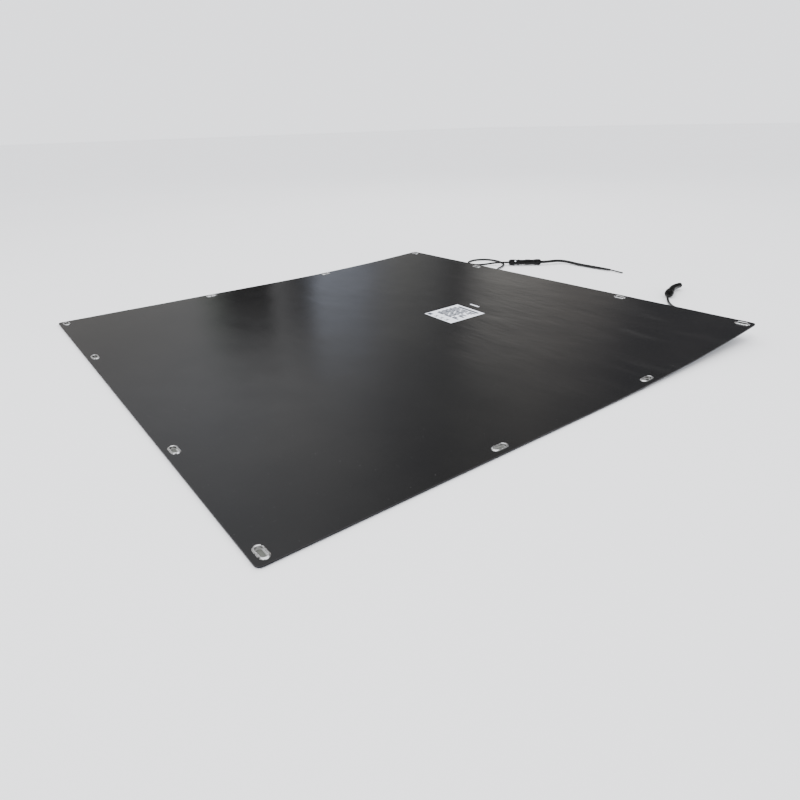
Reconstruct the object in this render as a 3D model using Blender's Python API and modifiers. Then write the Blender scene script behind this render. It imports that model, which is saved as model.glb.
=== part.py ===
"""Flexible solar sheet lying face down: laminate, eyelets, junction boxes, leads and connectors.

Metres, +Z up.  +X runs towards the edge with the junction boxes and leads, +Y along that edge.
The origin is on the floor under the middle of the sheet.  The sheet rests flat on its eyelets
and rises towards +X, where the junction boxes on its sun side hold it off the floor.
"""
import math

import bmesh
import bpy
from mathutils import Matrix, Vector

# ---- driving dimensions -------------------------------------------------------------------
LENGTH = 1.150            # sheet along X
WIDTH = 1.160             # sheet along Y
CORNER_RADIUS = 0.009
GAP = 0.0003              # clearance between pieces that touch
LAYER_GAP = 0.00015       # clearance between the bonded layers of the laminate

# laminate, from the sun side (down) to the back (up): thickness of each layer
FRONT_SHEET = 0.0004
FRONT_ENCAPSULANT = 0.0003
CELL = 0.00025
REAR_ENCAPSULANT = 0.0003
BACK_SHEET = 0.0005
LABEL = 0.0002

# rest shape
SHEET_LIFT = 0.0015       # underside of the flat part above the floor
RISE_START = 0.016        # X where the sheet starts to rise
EDGE_RISE = 0.0236        # rise at the middle of the +X edge
RISE_LEAN = 0.0106        # extra rise of that edge for each metre towards -Y
GRID_X = 14
GRID_Y = 14
GRID_MARGIN = 0.006
FLAT_ANGLE = math.radians(0.02)   # neighbouring grid faces flatter than this are one face

# cells: strings run along X
CELL_SIZE = 0.182
CELL_PITCH = 0.1835
CELLS_PER_STRING = 6
STRING_COUNT = 6
RIBBON_WIDTH = 0.006
BUS_RIBBON_X = 0.533
BUS_RIBBON_LENGTH = 1.090

# eyelets
EYELET_LENGTH = 0.0325
EYELET_WIDTH = 0.0160
HOLE_LENGTH = 0.0215
HOLE_WIDTH = 0.0085
BARREL_WALL = 0.0008
BARREL_CLEARANCE = 0.0005
FLANGE_THICKNESS = 0.0008
WASHER_THICKNESS = 0.0005
LIP_THICKNESS = 0.0005
LIP_REACH = 0.0020
EYELET_INSET = 0.0160     # eyelet centre to the edge that it runs along
CORNER_INSET = 0.0218     # corner eyelet centre to the edge across its end
SIDE_EYELET_X = (-0.182, 0.197)
SIDE_EYELET_Y = (-0.260, 0.250)

# labels on the back
RATING_LABEL_SIZE = (0.107, 0.102)
RATING_LABEL_AT = (0.2083, -0.0335)
SERIAL_LABEL_SIZE = (0.0050, 0.0320)
SERIAL_LABEL_AT = (0.2873, -0.0232)
LABEL_TURN = -2.0

# junction boxes, hung under the sheet's sun side
BOX_X = 0.530
BOX_Y = {"a": 0.195, "b": -0.400}
BOX_LENGTH = 0.062
BOX_WIDTH = 0.074
BOX_FLANGE = 0.002
BOX_WALL = 0.0022
BOX_BASE_DEPTH = 0.0125
BOX_DEPTH = 0.0170
BOSS_RADIUS = 0.0055
BOSS_LENGTH = 0.0105
BOSS_DEPTH = 0.0070

# leads
LEAD_DIAMETER = 0.006
TAIL_DIAMETER = 0.009
CONDUCTOR_DIAMETER = 0.004

# connectors, all distances along the axis from the rear of the lead's gland nut
NUT_LENGTH = 0.018
NUT_RADIUS = 0.0097
NUT_RADIUS_B = 0.0112
COLLAR_RADIUS = 0.0092
NECK_RADIUS = 0.0080
NECK_RADIUS_B = 0.0073
THREAD_RADIUS = 0.0065
SOCKET_COLLAR_END = 0.034
SOCKET_FRONT = 0.0525
PLUG_FRONT = 0.053
PLUG_COLLAR_END = 0.0862
PLUG_REAR = 0.1045
CAP_END = 0.112
SOCKET_A_AT = (0.7218, 0.2659, 0.0098)
SOCKET_A_HEADING = (0.7577, -0.6526, 0.0)
SOCKET_B_AT = (0.7338, -0.2914, 0.0112)
SOCKET_B_HEADING = (0.9304, 0.3665, 0.0)
CAP_BEND_START = 0.0570   # the soft dust cap is straight up to here and bends beyond it
CAP_BEND_RADIUS = 0.1125
LATCH_SIZE = (0.0012, 0.0045, 0.013)
LATCH_OFFSET = 0.0098     # middle of a latch arm from the connector's axis

# routes of the leads, from exit to end
ROUTE_A = (
    (0.5692, 0.1950, 0.0155), (0.5830, 0.1953, 0.0164), (0.5990, 0.2010, 0.0158),
    (0.6155, 0.2130, 0.0131), (0.6338, 0.2288, 0.0095), (0.6602, 0.2462, 0.0052),
    (0.6941, 0.2651, 0.0032), (0.7141, 0.2822, 0.0032), (0.7260, 0.3057, 0.0032),
    (0.7313, 0.3348, 0.0032), (0.7231, 0.3709, 0.0032), (0.6924, 0.3910, 0.0032),
    (0.6554, 0.3856, 0.0032), (0.6360, 0.3621, 0.0032), (0.6387, 0.3390, 0.0033),
    (0.6538, 0.3220, 0.0040), (0.6719, 0.3084, 0.0062), (0.6891, 0.2929, 0.0091),
    (0.7052, 0.2796, 0.0098), (0.7216, 0.2661, 0.0098),
)
ROUTE_B = (
    (0.5693, -0.4000, 0.0216), (0.5840, -0.3998, 0.0220), (0.6020, -0.3930, 0.0196),
    (0.6200, -0.3795, 0.0146), (0.6380, -0.3635, 0.0098), (0.6565, -0.3469, 0.0062),
    (0.6754, -0.3308, 0.0040), (0.6930, -0.3165, 0.0034), (0.7082, -0.3048, 0.0058),
    (0.7207, -0.2966, 0.0092), (0.7335, -0.2915, 0.0112),
)
ROUTE_TAIL = (
    (0.8012, 0.1975, 0.0098), (0.8160, 0.1868, 0.0100), (0.8340, 0.1808, 0.0100),
    (0.8529, 0.1740, 0.0096), (0.8690, 0.1599, 0.0084), (0.8771, 0.1378, 0.0064),
    (0.8781, 0.1087, 0.0050), (0.8785, 0.0766, 0.0047), (0.8807, 0.0457, 0.0047),
    (0.8830, 0.0183, 0.0047), (0.8849, -0.0096, 0.0047),
)
ROUTE_CONDUCTOR = (
    (0.8849, -0.0099, 0.0047), (0.8857, -0.0179, 0.0043), (0.8864, -0.0279, 0.0036),
    (0.8871, -0.0400, 0.0028), (0.8874, -0.0470, 0.0026), (0.8862, -0.0526, 0.0026),
)

# ---- colours (linear), roughness, metallic ----------------------------------------------------
BLACK_LAMINATE = ((0.012, 0.012, 0.013), 0.30, 0.0)
CLEAR_FILM = ((0.55, 0.57, 0.58), 0.20, 0.0)
CELL_BLUE = ((0.010, 0.014, 0.035), 0.25, 0.2)
TINNED_COPPER = ((0.62, 0.60, 0.57), 0.30, 1.0)
STEEL = ((0.63, 0.63, 0.64), 0.16, 1.0)
LABEL_WHITE = ((0.78, 0.82, 0.88), 0.45, 0.0)
BLACK_PLASTIC = ((0.013, 0.013, 0.014), 0.36, 0.0)
BLACK_JACKET = ((0.011, 0.011, 0.012), 0.42, 0.0)
BLACK_RUBBER = ((0.014, 0.014, 0.014), 0.55, 0.0)


# ---- scene helpers ----------------------------------------------------------------------------
def clear_scene():
    for obj in list(bpy.data.objects):
        bpy.data.objects.remove(obj, do_unlink=True)


def new_collection(name):
    collection = bpy.data.collections.new(name)
    bpy.context.scene.collection.children.link(collection)
    return collection


def finish_material(name, look):
    colour, roughness, metallic = look
    material = bpy.data.materials.new(name)
    material.use_nodes = True
    shader = material.node_tree.nodes["Principled BSDF"]
    shader.inputs["Base Color"].default_value = (*colour, 1.0)
    shader.inputs["Roughness"].default_value = roughness
    shader.inputs["Metallic"].default_value = metallic
    return material


def mesh_from(bm, name):
    mesh = bpy.data.meshes.new(name)
    bm.to_mesh(mesh)
    bm.free()
    return mesh


def add_piece(name, mesh, look, matrix=None):
    """Put a named sub-part with its own material in the object's collection."""
    obj = bpy.data.objects.new(name, mesh)
    PARTS.objects.link(obj)
    if matrix is not None:
        obj.matrix_world = matrix
    if not mesh.materials:
        mesh.materials.append(finish_material(name, look))
    return obj


def add_cutter(name, mesh, matrix=None, collection=None):
    cutter = bpy.data.objects.new(name, mesh)
    (collection or CUTTERS).objects.link(cutter)
    if matrix is not None:
        cutter.matrix_world = matrix
    cutter.hide_render = True
    cutter.display_type = "WIRE"
    return cutter


def boolean(obj, operation, cutter=None, collection=None):
    modifier = obj.modifiers.new(operation.lower(), "BOOLEAN")
    modifier.operation = operation
    modifier.solver = "EXACT"
    if collection is not None:
        modifier.operand_type = "COLLECTION"
        modifier.collection = collection
    else:
        modifier.object = cutter


def shade_round(obj, angle=35.0):
    obj.data.shade_smooth()
    obj.data.set_sharp_from_angle(angle=math.radians(angle))


# ---- basic solids -------------------------------------------------------------------------------
def block_mesh(name, size, centre=(0.0, 0.0, 0.0)):
    bm = bmesh.new()
    bmesh.ops.create_cube(bm, size=1.0)
    bmesh.ops.scale(bm, vec=size, verts=bm.verts)
    bmesh.ops.translate(bm, vec=centre, verts=bm.verts)
    return mesh_from(bm, name)


def rounded_block_mesh(name, size, centre, radius):
    """A block whose four upright edges are rounded."""
    bm = bmesh.new()
    bmesh.ops.create_cube(bm, size=1.0)
    bmesh.ops.scale(bm, vec=size, verts=bm.verts)
    upright = [e for e in bm.edges if abs(e.verts[0].co.z - e.verts[1].co.z) > size[2] / 2]
    bmesh.ops.bevel(bm, geom=upright, offset=radius, segments=4, profile=0.5, affect="EDGES")
    bmesh.ops.translate(bm, vec=centre, verts=bm.verts)
    return mesh_from(bm, name)


def obround_prism(bm, length, width, low, high, segments=16):
    """A prism with two straight sides and round ends, its long way along X."""
    prism = bmesh.ops.create_cone(
        bm, cap_ends=True, segments=segments,
        radius1=width / 2, radius2=width / 2, depth=high - low,
    )
    half_straight = (length - width) / 2
    for vert in prism["verts"]:
        if abs(vert.co.x) > 1e-6:
            vert.co.x += math.copysign(half_straight, vert.co.x)
        vert.co.z += (low + high) / 2


def obround_mesh(name, length, width, low, high):
    bm = bmesh.new()
    obround_prism(bm, length, width, low, high)
    return mesh_from(bm, name)


def turned(name, profile, look, matrix, steps=16, closed=False):
    """Turn a profile of (height, radius) about the local Z axis with a Screw modifier.

    An open profile starts and ends on the axis; a closed one makes a hollow ring.
    The outer side is given from the top down.
    """
    bm = bmesh.new()
    verts = [bm.verts.new((radius, 0.0, height)) for height, radius in profile]
    for start, end in zip(verts, verts[1:]):
        bm.edges.new((start, end))
    if closed:
        bm.edges.new((verts[-1], verts[0]))
    obj = add_piece(name, mesh_from(bm, name), look, matrix)
    screw = obj.modifiers.new("turn", "SCREW")
    screw.axis = "Z"
    screw.angle = math.radians(360)
    screw.steps = steps
    screw.render_steps = steps
    screw.use_merge_vertices = True
    screw.merge_threshold = 0.00001
    screw.use_smooth_shade = True
    return obj


# ---- the sheet's rest surface --------------------------------------------------------------------
def sheet_height(x, y):
    """Height of the laminate's underside over the floor."""
    along = max(0.0, (x - RISE_START) / (LENGTH / 2 - RISE_START))
    return SHEET_LIFT + along**2 * (EDGE_RISE - RISE_LEAN * y)


def sheet_normal(x, y):
    step = 0.004
    slope_x = (sheet_height(x + step, y) - sheet_height(x - step, y)) / (2 * step)
    slope_y = (sheet_height(x, y + step) - sheet_height(x, y - step)) / (2 * step)
    return Vector((-slope_x, -slope_y, 1.0)).normalized()


def on_sheet(x, y, heading=(1.0, 0.0), level=0.0, facing=1.0):
    """Frame on the laminate: local Z away from it, local X along heading."""
    normal = sheet_normal(x, y) * facing
    along = Vector((heading[0], heading[1], 0.0))
    along = (along - along.dot(normal) * normal).normalized()
    across = normal.cross(along)
    rotation = Matrix((along, across, normal)).transposed()
    place = Vector((x, y, sheet_height(x, y))) + sheet_normal(x, y) * level
    return Matrix.Translation(place) @ rotation.to_4x4()


def slab_mesh(name, level, thickness, merge_flat=True):
    """A slab of the laminate between two heights over its underside, wider than the sheet.

    The flat part becomes one large face, or keeps its grid of small faces if merge_flat is off.
    """
    bm = bmesh.new()
    bmesh.ops.create_grid(bm, x_segments=GRID_X, y_segments=GRID_Y, size=0.5)
    raised = bmesh.ops.extrude_face_region(bm, geom=bm.faces[:])
    upper = {v for v in raised["geom"] if isinstance(v, bmesh.types.BMVert)}
    for vert in bm.verts:
        vert.co.x *= LENGTH + 2 * GRID_MARGIN
        vert.co.y *= WIDTH + 2 * GRID_MARGIN
        vert.co.z = sheet_height(vert.co.x, vert.co.y) + level
        if vert in upper:
            vert.co.z += thickness
    bmesh.ops.recalc_face_normals(bm, faces=bm.faces)
    if merge_flat:
        bmesh.ops.dissolve_limit(bm, angle_limit=FLAT_ANGLE, verts=bm.verts[:], edges=bm.edges[:])
    bmesh.ops.triangulate(bm, faces=bm.faces)
    return mesh_from(bm, name)


def outline_cutter(name, size, centre=(0.0, 0.0), turn=0.0, radius=0.0):
    """An upright prism that trims a slab to a rectangle, with rounded corners if asked."""
    tall = (size[0], size[1], 0.2)
    if radius:
        mesh = rounded_block_mesh(name, tall, (0.0, 0.0, 0.0), radius)
    else:
        mesh = block_mesh(name, tall)
    matrix = Matrix.Translation((*centre, 0.0)) @ Matrix.Rotation(math.radians(turn), 4, "Z")
    return add_cutter(name, mesh, matrix)


def eyelet_places():
    """(x, y, direction of the long side) of every eyelet."""
    edge_x = LENGTH / 2 - EYELET_INSET
    edge_y = WIDTH / 2 - EYELET_INSET
    corner_y = WIDTH / 2 - CORNER_INSET
    places = []
    for side in (-1, 1):
        for corner in (-1, 1):
            places.append((side * edge_x, corner * corner_y, (0.0, 1.0)))
        for y in SIDE_EYELET_Y:
            places.append((side * edge_x, y, (0.0, 1.0)))
        for x in SIDE_EYELET_X:
            places.append((x, side * edge_y, (1.0, 0.0)))
    return places


def stack_levels():
    """Height of each layer's lower face over the laminate's underside."""
    levels = {}
    height = 0.0
    layers = (
        ("front_sheet", FRONT_SHEET), ("front_encapsulant", FRONT_ENCAPSULANT),
        ("cells", CELL), ("rear_encapsulant", REAR_ENCAPSULANT), ("back_sheet", BACK_SHEET),
    )
    for name, thickness in layers:
        levels[name] = height
        height += thickness + LAYER_GAP
    levels["back_face"] = height - LAYER_GAP
    return levels


# ---- laminate ----------------------------------------------------------------------------------
def make_hole_cutters():
    holes = bpy.data.collections.new("eyelet_hole_cutters")
    CUTTERS.children.link(holes)
    barrel_length = HOLE_LENGTH + 2 * BARREL_WALL + 2 * BARREL_CLEARANCE
    barrel_width = HOLE_WIDTH + 2 * BARREL_WALL + 2 * BARREL_CLEARANCE
    mesh = obround_mesh("eyelet_hole", barrel_length, barrel_width, -0.02, 0.02)
    for number, (x, y, heading) in enumerate(eyelet_places(), start=1):
        matrix = on_sheet(x, y, heading)
        add_cutter(f"eyelet_hole_{number:02d}", mesh, matrix, holes)
    return holes


def make_laminate(levels, holes):
    outline = outline_cutter("sheet_outline", (LENGTH, WIDTH), radius=CORNER_RADIUS)
    layers = (
        ("front_sheet", FRONT_SHEET, CLEAR_FILM),
        ("front_encapsulant", FRONT_ENCAPSULANT, CLEAR_FILM),
        ("rear_encapsulant", REAR_ENCAPSULANT, CLEAR_FILM),
        ("back_sheet", BACK_SHEET, BLACK_LAMINATE),
    )
    for name, thickness, look in layers:
        slab = slab_mesh(name, levels[name], thickness, merge_flat=name != "back_sheet")
        obj = add_piece(name, slab, look)
        boolean(obj, "INTERSECT", outline)
        boolean(obj, "DIFFERENCE", collection=holes)
        if name == "rear_encapsulant":
            add_bus_ribbons(obj, levels[name])


def add_bus_ribbons(encapsulant, level):
    """Two ribbons across the ends of the strings, each in a slot of the rear encapsulant."""
    slot_width = RIBBON_WIDTH + 2 * GAP
    for number, x in enumerate((-BUS_RIBBON_X, BUS_RIBBON_X), start=1):
        slot = outline_cutter(
            f"bus_slot_{number}", (slot_width, BUS_RIBBON_LENGTH + 2 * GAP), (x, 0.0)
        )
        boolean(encapsulant, "DIFFERENCE", slot)
        trim = outline_cutter(f"bus_outline_{number}", (RIBBON_WIDTH, BUS_RIBBON_LENGTH), (x, 0.0))
        name = f"bus_ribbon_{number}"
        ribbon = add_piece(name, slab_mesh(name, level, REAR_ENCAPSULANT), TINNED_COPPER)
        boolean(ribbon, "INTERSECT", trim)


def string_gap_mesh(name, centre_y):
    """The empty stretches between the cells of one string, with two ribbons left standing."""
    bm = bmesh.new()
    gap = CELL_PITCH - CELL_SIZE
    half_ribbon = RIBBON_WIDTH / 2
    quarter = CELL_SIZE / 4
    outer = CELL_SIZE / 2 + 0.001
    stretches = (
        (-outer, -quarter - half_ribbon), (-quarter + half_ribbon, quarter - half_ribbon),
        (quarter + half_ribbon, outer),
    )
    for index in range(CELLS_PER_STRING - 1):
        x = (index - (CELLS_PER_STRING - 2) / 2) * CELL_PITCH
        for low, high in stretches:
            cube = bmesh.ops.create_cube(bm, size=1.0)["verts"]
            bmesh.ops.scale(bm, vec=(gap, high - low, 0.2), verts=cube)
            bmesh.ops.translate(bm, vec=(x, centre_y + (low + high) / 2, 0.0), verts=cube)
    return mesh_from(bm, name)


def make_cell_strings(level):
    string_length = (CELLS_PER_STRING - 1) * CELL_PITCH + CELL_SIZE
    for index in range(STRING_COUNT):
        y = (index - (STRING_COUNT - 1) / 2) * CELL_PITCH
        name = f"cell_string_{index + 1}"
        string = add_piece(name, slab_mesh(name, level, CELL), CELL_BLUE)
        trim = outline_cutter(f"{name}_outline", (string_length, CELL_SIZE), (0.0, y))
        boolean(string, "INTERSECT", trim)
        gaps = add_cutter(f"{name}_gaps", string_gap_mesh(f"{name}_gaps", y))
        boolean(string, "DIFFERENCE", gaps)


def make_labels(back_face):
    labels = (
        ("rating_label", RATING_LABEL_SIZE, RATING_LABEL_AT),
        ("serial_label", SERIAL_LABEL_SIZE, SERIAL_LABEL_AT),
    )
    for name, size, centre in labels:
        label = add_piece(name, slab_mesh(name, back_face + LAYER_GAP, LABEL), LABEL_WHITE)
        trim = outline_cutter(f"{name}_outline", size, centre, LABEL_TURN)
        boolean(label, "INTERSECT", trim)


# ---- eyelets -----------------------------------------------------------------------------------
def eyelet_meshes(back_face):
    """One eyelet and one washer, in the frame of the laminate's underside."""
    barrel_length = HOLE_LENGTH + 2 * BARREL_WALL
    barrel_width = HOLE_WIDTH + 2 * BARREL_WALL
    washer_top = -GAP
    lip_top = washer_top - WASHER_THICKNESS - GAP / 2
    lip_bottom = lip_top - LIP_THICKNESS
    flange_bottom = back_face + GAP
    hole = obround_mesh("eyelet_bore", HOLE_LENGTH, HOLE_WIDTH, -0.02, 0.02)
    flange = obround_mesh(
        "eyelet_flange", EYELET_LENGTH, EYELET_WIDTH, flange_bottom, flange_bottom + FLANGE_THICKNESS
    )
    lip = obround_mesh(
        "eyelet_lip", barrel_length + 2 * LIP_REACH, barrel_width + 2 * LIP_REACH, lip_bottom, lip_top
    )
    barrel = obround_mesh("eyelet_barrel", barrel_length, barrel_width, lip_bottom, flange_bottom + 0.0004)
    eyelet = joined_mesh("eyelet", barrel, (flange, lip), (hole,))
    washer_hole_length = barrel_length + 2 * BARREL_CLEARANCE
    washer_hole_width = barrel_width + 2 * BARREL_CLEARANCE
    ring = obround_mesh("washer_ring", EYELET_LENGTH, EYELET_WIDTH, washer_top - WASHER_THICKNESS, washer_top)
    bore = obround_mesh("washer_bore", washer_hole_length, washer_hole_width, -0.02, 0.02)
    washer = joined_mesh("eyelet_washer", ring, (), (bore,))
    return eyelet, washer


def joined_mesh(name, base, added, removed):
    """Union and difference of meshes, given back as one new mesh."""
    work = add_cutter(f"{name}_work", base)
    for index, mesh in enumerate(added):
        boolean(work, "UNION", add_cutter(f"{name}_added_{index}", mesh))
    for index, mesh in enumerate(removed):
        boolean(work, "DIFFERENCE", add_cutter(f"{name}_removed_{index}", mesh))
    bpy.context.view_layer.update()
    evaluated = work.evaluated_get(bpy.context.evaluated_depsgraph_get())
    result = bpy.data.meshes.new_from_object(evaluated)
    result.name = name
    return result


def make_eyelets(back_face):
    eyelet, washer = eyelet_meshes(back_face)
    for number, (x, y, heading) in enumerate(eyelet_places(), start=1):
        matrix = on_sheet(x, y, heading)
        shade_round(add_piece(f"eyelet_{number:02d}", eyelet, STEEL, matrix))
        shade_round(add_piece(f"eyelet_washer_{number:02d}", washer, STEEL, matrix))


# ---- junction boxes ------------------------------------------------------------------------------
def make_junction_box(letter):
    """A tray glued to the sun side, its lid and the bypass diode inside; local Z points down."""
    y = BOX_Y[letter]
    frame = on_sheet(BOX_X, y, facing=-1.0)
    inner = (BOX_LENGTH - 0.006, BOX_WIDTH - 0.006)
    flange = block_mesh("flange", (BOX_LENGTH, BOX_WIDTH, BOX_FLANGE), (0.0, 0.0, GAP + BOX_FLANGE / 2))
    wall_depth = BOX_BASE_DEPTH - GAP
    walls = rounded_block_mesh(
        "walls", (*inner, wall_depth), (0.0, 0.0, GAP + wall_depth / 2), 0.004
    )
    cavity_size = (inner[0] - 2 * BOX_WALL, inner[1] - 2 * BOX_WALL, BOX_BASE_DEPTH)
    cavity = rounded_block_mesh(
        "cavity", cavity_size, (0.0, 0.0, GAP + BOX_FLANGE + BOX_BASE_DEPTH / 2), 0.002
    )
    boss = bmesh.new()
    bmesh.ops.create_cone(
        boss, cap_ends=True, segments=16, radius1=BOSS_RADIUS, radius2=BOSS_RADIUS * 0.8,
        depth=BOSS_LENGTH + BOX_WALL / 2,
        matrix=Matrix.Translation((inner[0] / 2 + BOSS_LENGTH / 2 - BOX_WALL / 4, 0.0, BOSS_DEPTH))
        @ Matrix.Rotation(math.radians(90), 4, "Y"),
    )
    base = joined_mesh(f"base_{letter}", walls, (flange, mesh_from(boss, "boss")), (cavity,))
    add_piece(f"junction_box_base_{letter}", base, BLACK_PLASTIC, frame)
    lid_low = BOX_BASE_DEPTH + GAP
    lid_depth = BOX_DEPTH - lid_low
    lid = rounded_block_mesh(
        "lid", (inner[0] + 0.001, inner[1] + 0.001, lid_depth),
        (0.0, 0.0, lid_low + lid_depth / 2), 0.004,
    )
    add_piece(f"junction_box_lid_{letter}", lid, BLACK_PLASTIC, frame)
    diode = block_mesh("diode", (0.010, 0.016, 0.0045), (0.0, 0.0, BOX_FLANGE + 0.0035))
    add_piece(f"bypass_diode_{letter}", diode, BLACK_PLASTIC, frame)


# ---- leads --------------------------------------------------------------------------------------
def smooth_route(points, spacing):
    """Points at even steps along a Catmull-Rom curve through the route."""
    knots = [Vector(p) for p in points]
    knots = [2 * knots[0] - knots[1], *knots, 2 * knots[-1] - knots[-2]]
    dense = []
    for p0, p1, p2, p3 in zip(knots, knots[1:], knots[2:], knots[3:]):
        for step in range(20):
            t = step / 20
            dense.append(0.5 * (
                2 * p1 + (p2 - p0) * t + (2 * p0 - 5 * p1 + 4 * p2 - p3) * t**2
                + (3 * p1 - p0 - 3 * p2 + p3) * t**3
            ))
    dense.append(knots[-2])
    lengths = [0.0]
    for start, end in zip(dense, dense[1:]):
        lengths.append(lengths[-1] + (end - start).length)
    count = max(2, round(lengths[-1] / spacing))
    result = []
    index = 0
    for number in range(count + 1):
        target = lengths[-1] * number / count
        while index < len(dense) - 2 and lengths[index + 1] < target:
            index += 1
        part = (target - lengths[index]) / (lengths[index + 1] - lengths[index])
        result.append(dense[index].lerp(dense[index + 1], min(1.0, part)))
    return result


def make_lead(name, route, diameter, look):
    points = smooth_route(route, 2.5 * diameter)
    curve = bpy.data.curves.new(name, "CURVE")
    curve.dimensions = "3D"
    curve.bevel_depth = diameter / 2
    curve.bevel_resolution = 2
    curve.use_fill_caps = True
    spline = curve.splines.new("POLY")
    spline.points.add(len(points) - 1)
    for point, place in zip(spline.points, points):
        point.co = (*place, 1.0)
    obj = bpy.data.objects.new(name, curve)
    PARTS.objects.link(obj)
    curve.materials.append(finish_material(name, look))


# ---- connectors ----------------------------------------------------------------------------------
def axis_frame(place, heading):
    """Frame with local Z along a horizontal connector axis and local X level across it."""
    forward = Vector(heading).normalized()
    up = Vector((0.0, 0.0, 1.0))
    across = up.cross(forward).normalized()
    rotation = Matrix((across, forward.cross(across), forward)).transposed()
    return Matrix.Translation(place) @ rotation.to_4x4()


def make_gland_nut(name, frame, radius, rear, facing):
    """A gland nut: a bore for the lead at its rear and a wide bore over the housing's thread."""
    def at(distance):
        return rear + facing * distance

    profile = [
        (at(NUT_LENGTH), radius), (at(0.006), radius), (at(0.0015), radius * 0.84), (at(0.0), radius * 0.66),
        (at(0.0), 0.0048), (at(0.005), 0.0048), (at(0.005), THREAD_RADIUS + 0.0004),
        (at(NUT_LENGTH), THREAD_RADIUS + 0.0004),
    ]
    if facing < 0:
        profile.reverse()
    turned(name, profile, BLACK_PLASTIC, frame, closed=True)


def make_socket(letter, frame, nut_radius, neck_radius):
    """The socket on a lead: gland nut, housing with a mating bore, and its contact."""
    make_gland_nut(f"socket_nut_{letter}", frame, nut_radius, 0.0, 1.0)
    housing = [
        (SOCKET_FRONT, neck_radius), (SOCKET_COLLAR_END, neck_radius),
        (SOCKET_COLLAR_END, COLLAR_RADIUS), (NUT_LENGTH + GAP, COLLAR_RADIUS),
        (NUT_LENGTH + GAP, THREAD_RADIUS), (0.0055, THREAD_RADIUS),
        (0.0055, 0.0036), (0.028, 0.0036), (0.028, 0.0048), (SOCKET_FRONT, 0.0048),
    ]
    turned(f"socket_housing_{letter}", housing, BLACK_PLASTIC, frame, closed=True)


def make_plug(frame):
    """The mated plug: housing with its nose inside the socket, pin, gland nut and two latches."""
    nose_tip = 0.031
    housing = [
        (PLUG_REAR - 0.0055, THREAD_RADIUS), (PLUG_COLLAR_END, THREAD_RADIUS),
        (PLUG_COLLAR_END, COLLAR_RADIUS), (PLUG_FRONT, COLLAR_RADIUS), (PLUG_FRONT, 0.0044),
        (nose_tip, 0.0044), (nose_tip, 0.0026), (PLUG_REAR - 0.0055, 0.0026),
    ]
    turned("plug_housing", housing, BLACK_PLASTIC, frame, closed=True)
    pin = [(0.092, 0.0), (0.092, 0.0022), (0.060, 0.0022), (0.058, 0.0010), (0.0330, 0.0010), (0.0315, 0.0)]
    turned("plug_pin", pin, TINNED_COPPER, frame, steps=12)
    contact = [(0.0300, 0.0), (0.0300, 0.0022), (0.012, 0.0022), (0.012, 0.0)]
    turned("socket_contact", contact, TINNED_COPPER, frame, steps=12)
    make_gland_nut("plug_nut", frame, NUT_RADIUS, PLUG_REAR, -1.0)
    for side, sign in (("left", 1.0), ("right", -1.0)):
        middle = PLUG_FRONT - GAP - LATCH_SIZE[2] / 2
        arm = block_mesh(f"latch_{side}", LATCH_SIZE, (sign * LATCH_OFFSET, 0.0, middle))
        add_piece(f"plug_latch_{side}", arm, BLACK_PLASTIC, frame)


def bent(mesh, start, radius):
    """Bend a mesh's part past a height on its local Z axis round to its -X side."""
    for vert in mesh.vertices:
        run = vert.co.z - start
        if run > 0.0:
            angle = run / radius
            reach = radius + vert.co.x
            vert.co.x = reach * math.cos(angle) - radius
            vert.co.z = start + reach * math.sin(angle)


def make_dust_cap(frame):
    """A soft cap pushed over the socket's neck, closed and bent at its far end."""
    grip = NECK_RADIUS_B + 0.0004
    profile = [
        (CAP_END, 0.0), (CAP_END, 0.0058), (CAP_END - 0.0015, 0.0068), (0.100, 0.0071), (0.088, 0.0074),
        (0.076, 0.0077), (0.065, 0.0080), (CAP_BEND_START, 0.0083), (0.040, 0.0088),
        (SOCKET_COLLAR_END + GAP, 0.0088), (SOCKET_COLLAR_END + GAP, grip),
        (SOCKET_FRONT + 0.0006, grip), (SOCKET_FRONT + 0.0006, 0.0040),
        (0.070, 0.0039), (0.088, 0.0037), (0.106, 0.0036), (0.106, 0.0),
    ]
    straight = turned("dust_cap_straight", profile, BLACK_RUBBER, Matrix.Identity(4))
    bpy.context.view_layer.update()
    evaluated = straight.evaluated_get(bpy.context.evaluated_depsgraph_get())
    mesh = bpy.data.meshes.new_from_object(evaluated)
    bpy.data.objects.remove(straight, do_unlink=True)
    bent(mesh, CAP_BEND_START, CAP_BEND_RADIUS)
    add_piece("dust_cap", mesh, BLACK_RUBBER, frame)


# ---- the object ----------------------------------------------------------------------------------
def make_sheet():
    levels = stack_levels()
    holes = make_hole_cutters()
    make_laminate(levels, holes)
    make_cell_strings(levels["cells"])
    make_labels(levels["back_face"])
    make_eyelets(levels["back_face"])


def make_leads():
    make_lead("lead_a", ROUTE_A, LEAD_DIAMETER, BLACK_JACKET)
    make_lead("lead_b", ROUTE_B, LEAD_DIAMETER, BLACK_JACKET)
    make_lead("tail_lead", ROUTE_TAIL, TAIL_DIAMETER, BLACK_JACKET)
    make_lead("tail_conductor", ROUTE_CONDUCTOR, CONDUCTOR_DIAMETER, BLACK_JACKET)


def make_connectors():
    frame_a = axis_frame(SOCKET_A_AT, SOCKET_A_HEADING)
    frame_b = axis_frame(SOCKET_B_AT, SOCKET_B_HEADING)
    make_socket("a", frame_a, NUT_RADIUS, NECK_RADIUS)
    make_plug(frame_a)
    make_socket("b", frame_b, NUT_RADIUS_B, NECK_RADIUS_B)
    make_dust_cap(frame_b)


clear_scene()
PARTS = new_collection("flexible_solar_sheet")
CUTTERS = new_collection("cutters")
make_sheet()
for box_letter in BOX_Y:
    make_junction_box(box_letter)
make_leads()
make_connectors()
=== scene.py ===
"""Looks of the flexible solar sheet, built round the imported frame. Metres, +Z up."""
import math

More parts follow.
